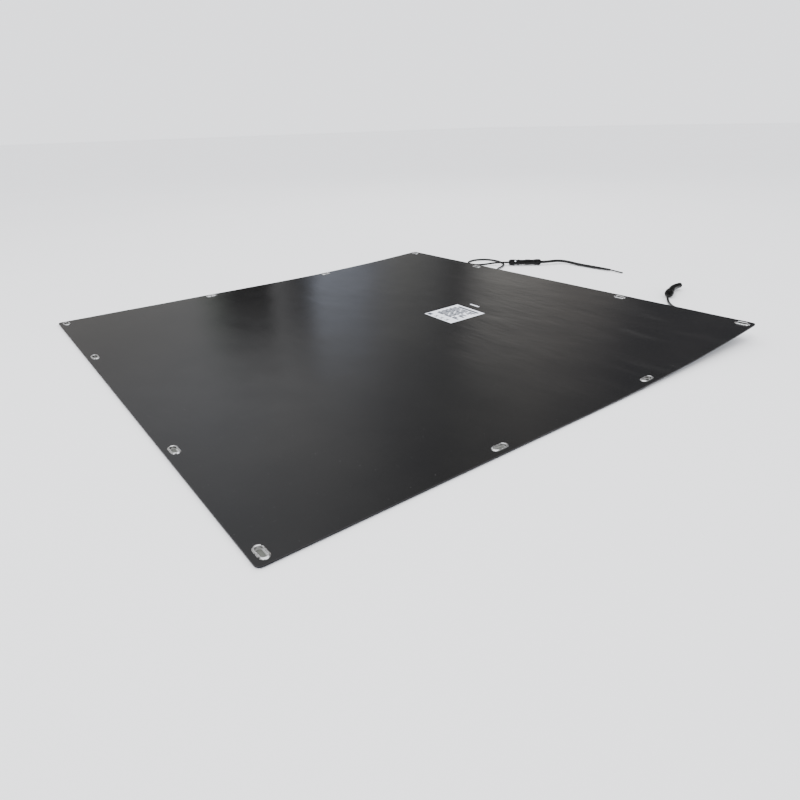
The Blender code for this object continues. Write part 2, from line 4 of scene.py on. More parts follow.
import bmesh
import bpy
from mathutils import Matrix, Vector


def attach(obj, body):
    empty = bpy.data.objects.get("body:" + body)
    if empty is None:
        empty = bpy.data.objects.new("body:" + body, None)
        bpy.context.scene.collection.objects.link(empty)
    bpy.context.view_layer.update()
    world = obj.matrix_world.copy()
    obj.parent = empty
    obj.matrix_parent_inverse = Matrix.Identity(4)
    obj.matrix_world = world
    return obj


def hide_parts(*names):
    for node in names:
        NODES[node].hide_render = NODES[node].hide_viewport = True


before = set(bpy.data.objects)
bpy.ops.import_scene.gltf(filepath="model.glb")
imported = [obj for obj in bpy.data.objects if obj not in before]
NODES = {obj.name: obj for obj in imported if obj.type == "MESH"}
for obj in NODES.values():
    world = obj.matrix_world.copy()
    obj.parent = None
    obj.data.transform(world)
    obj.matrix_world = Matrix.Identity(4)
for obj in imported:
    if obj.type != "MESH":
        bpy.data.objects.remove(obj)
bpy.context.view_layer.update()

# ---- the sheet's driving sizes, as in the model ---------------------------------------------
LENGTH = 1.150
WIDTH = 1.160
CORNER_RADIUS = 0.009
UNDERSIDE = 0.0015
BACK_FACE = 0.00235       # top of the laminate over its underside
SKIN = 0.0005
FIT_GAP = 0.0003          # between pieces that touch
RISE_START = 0.016
EDGE_RISE = 0.0236
RISE_LEAN = 0.0106
SKIN_CELLS = 96
SKIN_MARGIN = 0.020       # of the uncut skin, over the sheet's size
SKIN_HOLE_ROOM = 0.0022   # of the skin's holes, over the eyelets' own
SKIN_HOLE_STEPS = 40
WAVE_LIFT = 0.00012       # half the height of the film's shallow waves
RIPPLE_LIFT = 0.00003
CUTTER_REACH = 0.1

HOLE_LENGTH = 0.0215
HOLE_WIDTH = 0.0085
FLANGE_REACH = 0.0055     # past the hole's round ends
FLANGE_REACH_SIDE = 0.00375
BARREL_WALL = 0.0008
EYELET_INSET = 0.0160
CORNER_INSET = 0.0218
SIDE_EYELET_X = (-0.182, 0.197)
SIDE_EYELET_Y = (-0.260, 0.250)

RATING_LABEL_SIZE = (0.107, 0.102)
RATING_LABEL_AT = (0.2083, -0.0335)
SERIAL_LABEL_SIZE = (0.0050, 0.0320)
SERIAL_LABEL_AT = (0.2873, -0.0232)
LABEL_TURN = -2.0
LABEL_THICKNESS = 0.0002
LABEL_GAP = 0.00004
PRINT_GAP = 0.00002
PRINT_THICKNESS = 0.00006
PRINT_ROWS = 10
FILM_CELL = 0.006

BOX_X = 0.530
BOX_Y = {"a": 0.195, "b": -0.400}
BOX_LENGTH = 0.062
BOX_WIDTH = 0.074
BOX_BASE_DEPTH = 0.0125
BOX_DEPTH = 0.0170
BOSS_DEPTH = 0.0070
BOX_WALL_INSET = 0.003    # of the walls from the flange's edge
BOX_RIBS = (-0.022, -0.008, 0.006, 0.020)
BOX_RIB_SHIFT = 0.008     # of the ribs on the lead's side
CELL_PITCH = 0.1835
SEAM_WIDTH = 0.0018       # between two cells

LEAD_DIAMETER = 0.006
TAIL_DIAMETER = 0.009
CONDUCTOR_DIAMETER = 0.004
TAIL_TAPER = 0.060        # last stretch of the tail's jacket, which narrows
TAIL_THIN = 0.74          # to this share of its diameter
ROUTE_STEPS = 20          # between two points of a route
NUT_LENGTH = 0.018
NUT_RADIUS = {"a": 0.0097, "b": 0.0112}
COLLAR_RADIUS = 0.0092
NECK_RADIUS = {"a": 0.0080, "b": 0.0073}
THREAD_RADIUS = 0.0065
SOCKET_COLLAR_END = 0.034
SOCKET_FRONT = 0.0525
PLUG_FRONT = 0.053
PLUG_COLLAR_END = 0.0862
PLUG_REAR = 0.1045
CAP_END = 0.112
DOT_AT = 0.0205           # a dot on the socket's collar: distance along the axis and turn about it
DOT_TURN = 145.0
CAP_BEND_START = 0.0570
CAP_BEND_RADIUS = 0.1125
CAP_STEP = 0.003
LATCH_OFFSET = 0.0098
LATCH_SIZE = (0.0012, 0.0044, 0.0128)
BARB_SIZE = (0.0006, 0.0040, 0.0022)
BARB_BACK = 0.0118        # from the plug's front to the middle of the barb
DOT_RADIUS = 0.0024
DOT_FLATNESS = 0.35
DOT_RINGS = 10
SOCKET_AT = {"a": (0.7218, 0.2659, 0.0098), "b": (0.7338, -0.2914, 0.0112)}
SOCKET_HEADING = {"a": (0.7577, -0.6526, 0.0), "b": (0.9304, 0.3665, 0.0)}

ROUTE_A = (
    (0.5692, 0.1950, 0.0155), (0.5830, 0.1953, 0.0164), (0.5990, 0.2010, 0.0158),
    (0.6155, 0.2130, 0.0131), (0.6338, 0.2288, 0.0095), (0.6602, 0.2462, 0.0052),
    (0.6941, 0.2651, 0.0032), (0.7141, 0.2822, 0.0032), (0.7260, 0.3057, 0.0032),
    (0.7313, 0.3348, 0.0032), (0.7231, 0.3709, 0.0032), (0.6924, 0.3910, 0.0032),
    (0.6554, 0.3856, 0.0032), (0.6360, 0.3621, 0.0032), (0.6387, 0.3390, 0.0033),
    (0.6538, 0.3220, 0.0040), (0.6719, 0.3084, 0.0062), (0.6891, 0.2929, 0.0091),
    (0.7052, 0.2796, 0.0098), (0.7216, 0.2661, 0.0098),
)
ROUTE_B = (
    (0.5693, -0.4000, 0.0216), (0.5840, -0.3998, 0.0220), (0.6020, -0.3930, 0.0196),
    (0.6200, -0.3795, 0.0146), (0.6380, -0.3635, 0.0098), (0.6565, -0.3469, 0.0062),
    (0.6754, -0.3308, 0.0040), (0.6930, -0.3165, 0.0034), (0.7082, -0.3048, 0.0058),
    (0.7207, -0.2966, 0.0092), (0.7335, -0.2915, 0.0112),
)
ROUTE_TAIL = (
    (0.8012, 0.1975, 0.0098), (0.8160, 0.1868, 0.0100), (0.8340, 0.1808, 0.0100),
    (0.8529, 0.1740, 0.0096), (0.8690, 0.1599, 0.0084), (0.8771, 0.1378, 0.0064),
    (0.8781, 0.1087, 0.0050), (0.8785, 0.0766, 0.0047), (0.8807, 0.0457, 0.0047),
    (0.8830, 0.0183, 0.0047), (0.8849, -0.0096, 0.0047),
)
ROUTE_CONDUCTOR = (
    (0.8849, -0.0099, 0.0047), (0.8857, -0.0179, 0.0043), (0.8864, -0.0279, 0.0036),
    (0.8871, -0.0400, 0.0028), (0.8874, -0.0470, 0.0026), (0.8862, -0.0526, 0.0026),
)

SHEET_BODY = "sheet"


# ---- camera -------------------------------------------------------------------------------
CAMERA_AT = (-0.74627, -1.07911, 0.4383)
CAMERA_FORWARD = (0.5407, 0.72525, -0.42621)
CAMERA_RIGHT = (0.79435, -0.60694, -0.02504)
CAMERA_LENS = 26.506      # on a 36 mm wide sensor


def make_camera():
    data = bpy.data.cameras.new("camera")
    data.sensor_width = 36.0
    data.lens = CAMERA_LENS
    data.clip_start = 0.01
    camera = bpy.data.objects.new("camera", data)
    bpy.context.scene.collection.objects.link(camera)
    forward = Vector(CAMERA_FORWARD).normalized()
    right = Vector(CAMERA_RIGHT)
    right = (right - right.dot(forward) * forward).normalized()
    up = right.cross(forward)
    rotation = Matrix((right, up, -forward)).transposed()
    camera.matrix_world = Matrix.Translation(CAMERA_AT) @ rotation.to_4x4()
    bpy.context.scene.camera = camera


# ---- small helpers ---------------------------------------------------------------------------
def link(obj):
    bpy.context.scene.collection.objects.link(obj)
    return obj


def piece(name, data, material, body=SHEET_BODY, matrix=None, stands_for=None):
    """An object that rides on a body and, where it stands for a CAD node, hides it."""
    obj = link(bpy.data.objects.new(name, data))
    if matrix is not None:
        obj.matrix_world = matrix
    data.materials.clear()
    data.materials.append(material)
    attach(obj, body)
    if stands_for:
        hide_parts(stands_for)
    return obj


def mesh_from(bm, name, smooth_angle=35.0):
    mesh = bpy.data.meshes.new(name)
    bm.to_mesh(mesh)
    bm.free()
    mesh.shade_smooth()
    mesh.set_sharp_from_angle(angle=math.radians(smooth_angle))
    return mesh


def sheet_height(x, y):
    along = max(0.0, (x - RISE_START) / (LENGTH / 2 - RISE_START))
    return UNDERSIDE + along**2 * (EDGE_RISE - RISE_LEAN * y)


def sheet_normal(x, y):
    step = 0.004
    slope_x = (sheet_height(x + step, y) - sheet_height(x - step, y)) / (2 * step)
    slope_y = (sheet_height(x, y + step) - sheet_height(x, y - step)) / (2 * step)
    return Vector((-slope_x, -slope_y, 1.0)).normalized()


def on_sheet(x, y, heading=(1.0, 0.0), facing=1.0):
    """A frame on the sheet's underside, its Z up out of the sheet, or down where facing is -1."""
    normal = sheet_normal(x, y) * facing
    along = Vector((heading[0], heading[1], 0.0))
    along = (along - along.dot(normal) * normal).normalized()
    across = normal.cross(along)
    rotation = Matrix((along, across, normal)).transposed()
    return Matrix.Translation((x, y, sheet_height(x, y))) @ rotation.to_4x4()


def eyelet_places():
    """Each eyelet's middle and the heading of its long way."""
    edge_x = LENGTH / 2 - EYELET_INSET
    edge_y = WIDTH / 2 - EYELET_INSET
    corner_y = WIDTH / 2 - CORNER_INSET
    places = []
    for side in (-1, 1):
        for corner in (-1, 1):
            places.append((side * edge_x, corner * corner_y, (0.0, 1.0)))
        for y in SIDE_EYELET_Y:
            places.append((side * edge_x, y, (0.0, 1.0)))
        for x in SIDE_EYELET_X:
            places.append((x, side * edge_y, (1.0, 0.0)))
    return places


# ---- materials --------------------------------------------------------------------------------
def math_node(tree, operation, *sources):
    """A Math node's result; each source is an output or a number."""
    node = tree.nodes.new("ShaderNodeMath")
    node.operation = operation
    for socket, source in zip(node.inputs, sources):
        if isinstance(source, float):
            socket.default_value = source
        else:
            tree.links.new(source, socket)
    return node.outputs[0]


def ramp_node(tree, factor, stops):
    """A colour ramp's result; a stop is (position, colour)."""
    node = tree.nodes.new("ShaderNodeValToRGB")
    elements = node.color_ramp.elements
    while len(elements) < len(stops):
        elements.new(0.5)
    for element, (position, colour) in zip(elements, stops):
        element.position = position
        element.color = (*colour, 1.0)
    tree.links.new(factor, node.inputs["Fac"])
    return node.outputs["Color"]


def mix_node(tree, factor, first, second):
    """A blend of two colours, each an output or a plain colour."""
    node = tree.nodes.new("ShaderNodeMix")
    node.data_type = "RGBA"
    tree.links.new(factor, node.inputs["Factor"])
    for socket, source in ((node.inputs["A"], first), (node.inputs["B"], second)):
        if isinstance(source, tuple):
            socket.default_value = (*source, 1.0)
        else:
            tree.links.new(source, socket)
    return node.outputs["Result"]


def range_node(tree, factor, low, high, near, far, kind="LINEAR"):
    """A value that goes from low to high as the factor goes from near to far."""
    node = tree.nodes.new("ShaderNodeMapRange")
    node.interpolation_type = kind
    for name, value in (("From Min", near), ("From Max", far), ("To Min", low), ("To Max", high)):
        node.inputs[name].default_value = value
    tree.links.new(factor, node.inputs["Value"])
    return node.outputs["Result"]


class Shader:
    """A Principled material that grows a few procedural nodes."""

    def __init__(self, name, colour, roughness, metallic=0.0, specular=0.5):
        self.material = bpy.data.materials.new(name)
        self.material.use_nodes = True
        self.tree = self.material.node_tree
        self.main = self.tree.nodes["Principled BSDF"]
        self.main.inputs["Base Color"].default_value = (*colour, 1.0)
        self.main.inputs["Roughness"].default_value = roughness
        self.main.inputs["Metallic"].default_value = metallic
        self.main.inputs["Specular IOR Level"].default_value = specular
        self.coordinates = self.tree.nodes.new("ShaderNodeTexCoord").outputs["Object"]
        self.normal = None

    def along(self, axis):
        """The object's own X, Y or Z."""
        node = self.tree.nodes.new("ShaderNodeSeparateXYZ")
        self.tree.links.new(self.coordinates, node.inputs["Vector"])
        return node.outputs[axis]

    def noise(self, scale, detail=3.0, roughness=0.5, stretch=(1.0, 1.0, 1.0), turn=0.0):
        """Noise over the object; the turn follows the stretch, so streaks stay along X or Y."""
        mapping = self.tree.nodes.new("ShaderNodeMapping")
        mapping.inputs["Scale"].default_value = stretch
        mapping.inputs["Rotation"].default_value = (0.0, 0.0, math.radians(turn))
        self.tree.links.new(self.coordinates, mapping.inputs["Vector"])
        node = self.tree.nodes.new("ShaderNodeTexNoise")
        node.inputs["Scale"].default_value = scale
        node.inputs["Detail"].default_value = detail
        node.inputs["Roughness"].default_value = roughness
        self.tree.links.new(mapping.outputs["Vector"], node.inputs["Vector"])
        return node.outputs["Fac"]

    def math(self, operation, *sources):
        return math_node(self.tree, operation, *sources)

    def ramp(self, factor, stops):
        return ramp_node(self.tree, factor, stops)

    def mottled(self, factor, dark, light, near=0.3, far=0.7):
        """The surface's colour varies between two tones."""
        self.colour(self.ramp(factor, ((near, dark), (far, light))))

    def blend_values(self, factor, low, high, near=0.3, far=0.7):
        return range_node(self.tree, factor, low, high, near, far)

    def mixed(self, factor, first, second):
        return mix_node(self.tree, factor, first, second)

    def colour(self, output):
        self.tree.links.new(output, self.main.inputs["Base Color"])

    def roughness(self, output):
        self.tree.links.new(output, self.main.inputs["Roughness"])

    def bump(self, height, distance):
        node = self.tree.nodes.new("ShaderNodeBump")
        node.inputs["Distance"].default_value = distance
        self.tree.links.new(height, node.inputs["Height"])
        if self.normal is not None:
            self.tree.links.new(self.normal, node.inputs["Normal"])
        self.normal = node.outputs["Normal"]
        self.tree.links.new(self.normal, self.main.inputs["Normal"])


def back_sheet_material():
    """Satin black film: faint ripples, orange peel, wipe marks, hairline scratches and dust."""
    shader = Shader("black_back_film", (0.011, 0.011, 0.012), 0.17)
    towards_leads = shader.blend_values(shader.along("X"), 0.0, 1.0, -0.10, 0.40)
    tone = shader.ramp(
        shader.noise(7.0, 4.0), ((0.3, (0.0052, 0.0052, 0.0055)), (0.7, (0.0078, 0.0076, 0.0075)))
    )
    wipes = shader.blend_values(
        shader.noise(5.0, 5.0, 0.6, stretch=(7.0, 1.0, 1.0), turn=38.0), 0.0, 1.0, 0.54, 0.78
    )
    wipes = shader.math("MULTIPLY", wipes, towards_leads)
    tone = shader.mixed(wipes, tone, (0.0150, 0.0147, 0.0144))
    scratches = shader.blend_values(
        shader.noise(24.0, 2.0, 0.5, stretch=(1.0, 40.0, 1.0), turn=-24.0), 0.0, 1.0, 0.74, 0.82
    )
    tone = shader.mixed(scratches, tone, (0.055, 0.055, 0.055))
    specks = shader.blend_values(shader.noise(420.0, 1.0), 0.0, 1.0, 0.79, 0.84)
    shader.colour(shader.mixed(specks, tone, (0.090, 0.090, 0.088)))
    smudge = shader.blend_values(shader.noise(16.0, 5.0, 0.6), 0.145, 0.20)
    shader.roughness(shader.math("ADD", smudge, shader.blend_values(wipes, 0.0, 0.04, 0.0, 1.0)))
    rippled = shader.blend_values(shader.along("X"), 0.3, 1.0, -0.40, 0.10)
    patches = shader.blend_values(shader.noise(3.5, 2.0), 0.25, 1.0, 0.38, 0.62)
    rippled = shader.math("MULTIPLY", rippled, patches)
    ripples = shader.noise(5.0, 5.0, 0.58, stretch=(3.6, 1.0, 1.0))
    shader.bump(shader.math("MULTIPLY", ripples, rippled), 0.0011)
    shader.bump(shader.noise(90.0, 2.0), 0.00004)
    shader.bump(shader.noise(900.0, 2.0), 0.000006)
    return shader.material


def sun_film_material():
    """The clear dimpled film over dark cells, with the paler seams between the cells."""
    shader = Shader("sun_side_film", (0.012, 0.014, 0.022), 0.28)
    seams = []
    for axis in "XY":
        from_seam = shader.math("PINGPONG", shader.along(axis), CELL_PITCH / 2)
        seams.append(shader.math("LESS_THAN", from_seam, SEAM_WIDTH / 2))
    seam = shader.math("MAXIMUM", *seams)
    shader.mottled(seam, (0.010, 0.013, 0.024), (0.055, 0.057, 0.060), 0.0, 1.0)
    shader.bump(shader.noise(700.0, 1.0), 0.00006)
    return shader.material


def steel_material():
    """Pressed stainless steel with faint draw marks: polished rim, and below it the barrel painted dark
    grey as shade.
    """
    shader = Shader("pressed_steel", (0.90, 0.90, 0.90), 0.17, metallic=1.0)
    marks = shader.noise(260.0, 3.0, 0.6, stretch=(1.0, 4.0, 1.0))
    rim = shader.blend_values(shader.along("Z"), 0.0, 1.0, BACK_FACE + 0.0001, BACK_FACE + 0.0008)
    polish = shader.ramp(shader.noise(120.0), ((0.3, (0.84, 0.84, 0.83)), (0.7, (0.96, 0.96, 0.96))))
    # painted shade: below the top of the rim, the steel of the barrel, lip and washers is dark grey
    # (0.16) in place of shadow
    shader.colour(shader.mixed(rim, (0.16, 0.16, 0.15), polish))
    shader.roughness(shader.blend_values(marks, 0.16, 0.30))
    shader.bump(marks, 0.00002)
    return shader.material


def plastic_material(name, tone, gloss, grain):
    """Moulded black plastic with a fine spark-eroded grain."""
    shader = Shader(name, (tone, tone, tone * 1.05), gloss, specular=0.17)
    shader.mottled(shader.noise(60.0, 3.0), (tone * 0.8,) * 3, (tone * 1.25,) * 3)
    shader.roughness(shader.blend_values(shader.noise(140.0), gloss - 0.06, gloss + 0.08))
    shader.bump(shader.noise(grain, 2.0), 0.00003)
    return shader.material


def jacket_material():
    """Extruded cable jacket: satin black with a few scuffs."""
    shader = Shader("cable_jacket", (0.007, 0.007, 0.007), 0.36, specular=0.25)
    scuffs = shader.noise(220.0, 4.0, 0.7)
    shader.mottled(scuffs, (0.006, 0.006, 0.006), (0.022, 0.022, 0.020), 0.45, 0.8)
    shader.roughness(shader.blend_values(scuffs, 0.28, 0.50))
    shader.bump(shader.noise(1400.0, 2.0), 0.00002)
    return shader.material


def label_material():
    """White label film with a slight waviness in its gloss."""
    shader = Shader("label_film", (0.88, 0.91, 0.96), 0.34)
    shader.mottled(shader.noise(35.0), (0.86, 0.89, 0.95), (0.91, 0.93, 0.97))
    shader.roughness(shader.blend_values(shader.noise(300.0), 0.28, 0.42))
    shader.bump(shader.noise(500.0), 0.00001)
    return shader.material


def ink_material():
    """Dark ink that lies slightly uneven."""
    shader = Shader("label_ink", (0.020, 0.026, 0.045), 0.50)
    shader.mottled(shader.noise(400.0), (0.014, 0.019, 0.036), (0.030, 0.040, 0.065))
    return shader.material


def tinned_material():
    """Tinned copper of the contacts and ribbons."""
    shader = Shader("tinned_copper", (0.46, 0.44, 0.41), 0.32, metallic=1.0)
    shader.roughness(shader.blend_values(shader.noise(700.0), 0.24, 0.45))
    shader.mottled(shader.noise(250.0), (0.38, 0.35, 0.31), (0.56, 0.54, 0.51))
    return shader.material


# ---- leads --------------------------------------------------------------------------------------
def smooth_route(points, spacing):
    """Evenly spaced points on a smooth curve through the given ones."""
    knots = [Vector(p) for p in points]
    knots = [2 * knots[0] - knots[1], *knots, 2 * knots[-1] - knots[-2]]
    dense = []
    for p0, p1, p2, p3 in zip(knots, knots[1:], knots[2:], knots[3:]):
        for step in range(ROUTE_STEPS):
            t = step / ROUTE_STEPS
            dense.append(0.5 * (
                2 * p1 + (p2 - p0) * t + (2 * p0 - 5 * p1 + 4 * p2 - p3) * t**2
                + (3 * p1 - p0 - 3 * p2 + p3) * t**3
            ))
    dense.append(knots[-2])
    lengths = [0.0]
    for start, end in zip(dense, dense[1:]):
        lengths.append(lengths[-1] + (end - start).length)
    count = max(2, round(lengths[-1] / spacing))
    result = []
    index = 0
    for number in range(count + 1):
        target = lengths[-1] * number / count
        while index < len(dense) - 2 and lengths[index + 1] < target:
            index += 1
        part = (target - lengths[index]) / (lengths[index + 1] - lengths[index])
        result.append(dense[index].lerp(dense[index + 1], min(1.0, part)))
    return result


def route_length(points):
    return sum((Vector(b) - Vector(a)).length for a, b in zip(points, points[1:]))


def lead(name, route, diameter, node, body, material, taper=0.0, thin=1.0):
    """A round cord along a route; over its last stretch (taper) it may narrow to a share (thin)."""
    points = smooth_route(route, diameter * 0.6)
    total = route_length(points)
    curve = bpy.data.curves.new(name, "CURVE")
    curve.dimensions = "3D"
    curve.bevel_depth = diameter / 2
    curve.bevel_resolution = 6
    curve.use_fill_caps = True
    spline = curve.splines.new("POLY")
    spline.points.add(len(points) - 1)
    for index, (point, place) in enumerate(zip(spline.points, points)):
        point.co = (*place, 1.0)
        if taper:
            left = total * (1.0 - index / (len(points) - 1))
            part = max(0.0, 1.0 - left / taper)
            point.radius = 1.0 + (thin - 1.0) * part
    spline.use_smooth = True
    return piece(name, curve, material, body, stands_for=node), points


def bridge(bm, rings, closed=False):
    """Quads between successive rings of vertices."""
    pairs = list(zip(rings, rings[1:]))
    if closed:
        pairs.append((rings[-1], rings[0]))
    for low, high in pairs:
        count = len(low)
        for index in range(count):
            after = (index + 1) % count
            bm.faces.new((low[index], low[after], high[after], high[index]))


# ---- turned shapes ------------------------------------------------------------------------------
def turned_mesh(name, profile, steps=72, closed=False, ribs=0, groove=0.0, smooth_angle=30.0):
    """Turn (distance, radius[, ribbed]) points about local Z; ribbed points carry grooves."""
    bm = bmesh.new()
    rings = []
    for distance, radius, *ribbed in profile:
        if radius < 1e-6:
            rings.append(bm.verts.new((0.0, 0.0, distance)))
            continue
        ring = []
        for step in range(steps):
            angle = step * math.tau / steps
            here = radius
            if ribbed and ribs:
                phase = (angle * ribs / math.tau) % 1.0
                here -= groove * max(0.0, 1.0 - abs(phase - 0.5) / 0.22) ** 0.6
            ring.append(bm.verts.new((here * math.cos(angle), here * math.sin(angle), distance)))
        rings.append(ring)
    pairs = list(zip(rings, rings[1:]))
    if closed:
        pairs.append((rings[-1], rings[0]))
    for first, second in pairs:
        pole_first = isinstance(first, bmesh.types.BMVert)
        pole_second = isinstance(second, bmesh.types.BMVert)
        for index in range(steps):
            after = (index + 1) % steps
            if pole_first:
                bm.faces.new((first, second[after], second[index]))
            elif pole_second:
                bm.faces.new((first[index], first[after], second))
            else:
                bm.faces.new((first[index], first[after], second[after], second[index]))
    bmesh.ops.recalc_face_normals(bm, faces=bm.faces)
    return mesh_from(bm, name, smooth_angle)


def axis_frame(place, heading):
    """A frame at a place, its Z along the heading and its Y upwards."""
    forward = Vector(heading).normalized()
    up = Vector((0.0, 0.0, 1.0))
    across = up.cross(forward).normalized()
    rotation = Matrix((across, forward.cross(across), forward)).transposed()
    return Matrix.Translation(place) @ rotation.to_4x4()


def rounded_box(name, size, centre, radius, segments=3):
    """A box with rounded edges."""
    bm = bmesh.new()
    bmesh.ops.create_cube(bm, size=1.0)
    bmesh.ops.scale(bm, vec=size, verts=bm.verts)
    bmesh.ops.bevel(bm, geom=bm.edges[:], offset=radius, segments=segments, profile=0.5, affect="EDGES")
    bmesh.ops.translate(bm, vec=centre, verts=bm.verts)
    return mesh_from(bm, name)


def merged(name, meshes):
    """One mesh from several separate solids."""
    bm = bmesh.new()
    for mesh in meshes:
        bm.from_mesh(mesh)
    return mesh_from(bm, name)


# ---- laminate -----------------------------------------------------------------------------------
def skin_height(x, y):
    """Top of the back sheet: the rest shape with shallow waves where the film has been handled."""
    wave = math.sin(x * 31.0 + 3.0 * math.sin(y * 6.0)) * math.sin(y * 23.0 + 2.0 * math.sin(x * 5.0))
    ripple = math.sin((x - 0.6 * y) * 74.0 + 1.3) * math.sin((y + 0.4 * x) * 47.0)
    far = max(0.0, min(1.0, (y + 0.2) / 0.6))
    lift = WAVE_LIFT * (1.0 + wave) + RIPPLE_LIFT * (0.4 + far) * (1.0 + ripple)
    return sheet_height(x, y) + BACK_FACE + lift


def obround_points(length, width, steps):
    """Outline of an obround, long way along X: (point, outward direction)."""
    half = (length - width) / 2
    radius = width / 2
    straight = 2 * half
    arc = math.pi * radius
    total = 2 * straight + 2 * arc
    points = []
    for step in range(steps):
        run = total * step / steps
        if run < arc:
            angle = -math.pi / 2 + run / radius
            centre_x = half
        elif run < arc + straight:
            angle = math.pi / 2
            centre_x = half - (run - arc)
        elif run < 2 * arc + straight:
            angle = math.pi / 2 + (run - arc - straight) / radius
            centre_x = -half
        else:
            angle = -math.pi / 2
            centre_x = -half + (run - 2 * arc - straight)
        out = Vector((math.cos(angle), math.sin(angle), 0.0))
        points.append((Vector((centre_x, 0.0, 0.0)) + out * radius, out))
    return points


def upright_prism(outline, name):
    """A tall cutter of the given outline."""
    bm = bmesh.new()
    low = [bm.verts.new((p[0], p[1], -CUTTER_REACH)) for p in outline]
    high = [bm.verts.new((p[0], p[1], CUTTER_REACH)) for p in outline]
    bridge(bm, [low, high])
    bm.faces.new(list(reversed(low)))
    bm.faces.new(high)
    bmesh.ops.recalc_face_normals(bm, faces=bm.faces)
    mesh = bpy.data.meshes.new(name)
    bm.to_mesh(mesh)
    bm.free()
    return bpy.data.objects.new(name, mesh)


def rounded_outline(length, width, radius, steps=10):
    points = []
    for quarter, (sx, sy) in enumerate(((1, -1), (1, 1), (-1, 1), (-1, -1))):
        centre = Vector((sx * (length / 2 - radius), sy * (width / 2 - radius)))
        for step in range(steps + 1):
            angle = math.radians(-90 + 90 * quarter + 90 * step / steps)
            points.append((centre.x + radius * math.cos(angle), centre.y + radius * math.sin(angle)))
    return points


def applied(obj):
    """The mesh of an object with its modifiers applied."""
    bpy.context.view_layer.update()
    evaluated = obj.evaluated_get(bpy.context.evaluated_depsgraph_get())
    return bpy.data.meshes.new_from_object(evaluated)


def make_back_skin(material):
    """The upper film of the laminate, trimmed to its outline and cut for the eyelets."""
    bm = bmesh.new()
    bmesh.ops.create_grid(bm, x_segments=SKIN_CELLS, y_segments=SKIN_CELLS, size=0.5)
    raised = bmesh.ops.extrude_face_region(bm, geom=bm.faces[:])
    upper = {v for v in raised["geom"] if isinstance(v, bmesh.types.BMVert)}
    for vert in bm.verts:
        vert.co.x *= LENGTH + SKIN_MARGIN
        vert.co.y *= WIDTH + SKIN_MARGIN
        if vert in upper:
            vert.co.z = skin_height(vert.co.x, vert.co.y)
        else:
            vert.co.z = sheet_height(vert.co.x, vert.co.y) + BACK_FACE - SKIN
    bmesh.ops.recalc_face_normals(bm, faces=bm.faces)
    mesh = bpy.data.meshes.new("back_skin")
    bm.to_mesh(mesh)
    bm.free()
    work = link(bpy.data.objects.new("skin_work", mesh))
    cutters = [link(upright_prism(rounded_outline(LENGTH, WIDTH, CORNER_RADIUS), "skin_outline"))]
    trim = work.modifiers.new("trim", "BOOLEAN")
    trim.operation = "INTERSECT"
    trim.object = cutters[0]
    hole = obround_points(HOLE_LENGTH + SKIN_HOLE_ROOM, HOLE_WIDTH + SKIN_HOLE_ROOM, SKIN_HOLE_STEPS)
    for number, (x, y, heading) in enumerate(eyelet_places(), start=1):
        cutter = link(upright_prism([p.xy for p, _ in hole], f"skin_hole_{number:02d}"))
        cutter.matrix_world = on_sheet(x, y, heading)
        cut = work.modifiers.new(f"hole_{number:02d}", "BOOLEAN")
        cut.operation = "DIFFERENCE"
        cut.object = cutter
        cutters.append(cutter)
    result = applied(work)
    for obj in (work, *cutters):
        bpy.data.objects.remove(obj, do_unlink=True)
    result.name = "back_skin"
    result.shade_smooth()
    result.set_sharp_from_angle(angle=math.radians(35))
    piece("back_skin", result, material, stands_for="back_sheet")


# ---- eyelets ------------------------------------------------------------------------------------
EYELET_STEPS = 144
EYELET_SPLITS = (0.04, 0.17, 0.36, 0.52, 0.60, 0.83, 0.94)  # shares of the way round


def eyelet_mesh(seed):
    """Barrel, a rounded rim with splits in its edge, and the lip underneath."""
    path = obround_points(HOLE_LENGTH, HOLE_WIDTH, EYELET_STEPS)
    top = BACK_FACE + FIT_GAP
    low = -0.0015
    profile = (
        (0.00, low), (0.00, top + 0.0001), (0.0002, top + 0.0008), (0.0008, top + 0.0014),
        (0.0017, top + 0.0017), (0.0028, top + 0.0015), (0.0038, top + 0.0011), (0.0047, top + 0.0006),
        (0.0053, top + 0.0002), (0.0055, top), (0.0053, top - 0.0002), (0.0040, top - 0.0002),
        (BARREL_WALL, top - 0.0002), (BARREL_WALL, -0.0008),
        (0.0026, -0.0010), (0.0028, -0.0012), (0.0026, low), (0.0010, low),
    )
    rim = range(4, 12)                # the profile points that a split moves
    narrow = (FLANGE_REACH_SIDE - BARREL_WALL) / (FLANGE_REACH - BARREL_WALL)
    bm = bmesh.new()
    rings = []
    for step, (point, out) in enumerate(path):
        around = step / EYELET_STEPS
        share = narrow + (1.0 - narrow) * out.x**2
        split = 0.0
        for index, place in enumerate(EYELET_SPLITS):
            width = 0.014 + 0.008 * math.sin(seed * 2.1 + index * 1.9)
            deep = 0.55 + 0.45 * math.sin(seed * 1.3 + index * 2.3)
            split = max(split, deep * min(1.0, 1.6 * max(0.0, 1.0 - abs(around - place) / width)))
        wander = 0.5 + 0.5 * math.sin(seed * 1.7 + around * math.tau * 5)
        ring = []
        for index, (reach, height) in enumerate(profile):
            if index in rim:
                part = max(0.0, (reach - 0.0012) / (FLANGE_REACH - 0.0012))
                reach -= (0.0024 * split + 0.0003 * wander) * part
                height = max(height - 0.0009 * split * part, top - 0.0002)
            if reach > BARREL_WALL:
                reach = BARREL_WALL + (reach - BARREL_WALL) * share
            spot = point + out * reach
            ring.append(bm.verts.new((spot.x, spot.y, height)))
        rings.append(ring)
    bridge(bm, rings, closed=True)
    bmesh.ops.recalc_face_normals(bm, faces=bm.faces)
    return mesh_from(bm, f"eyelet_rim_{seed:02d}", 50.0)


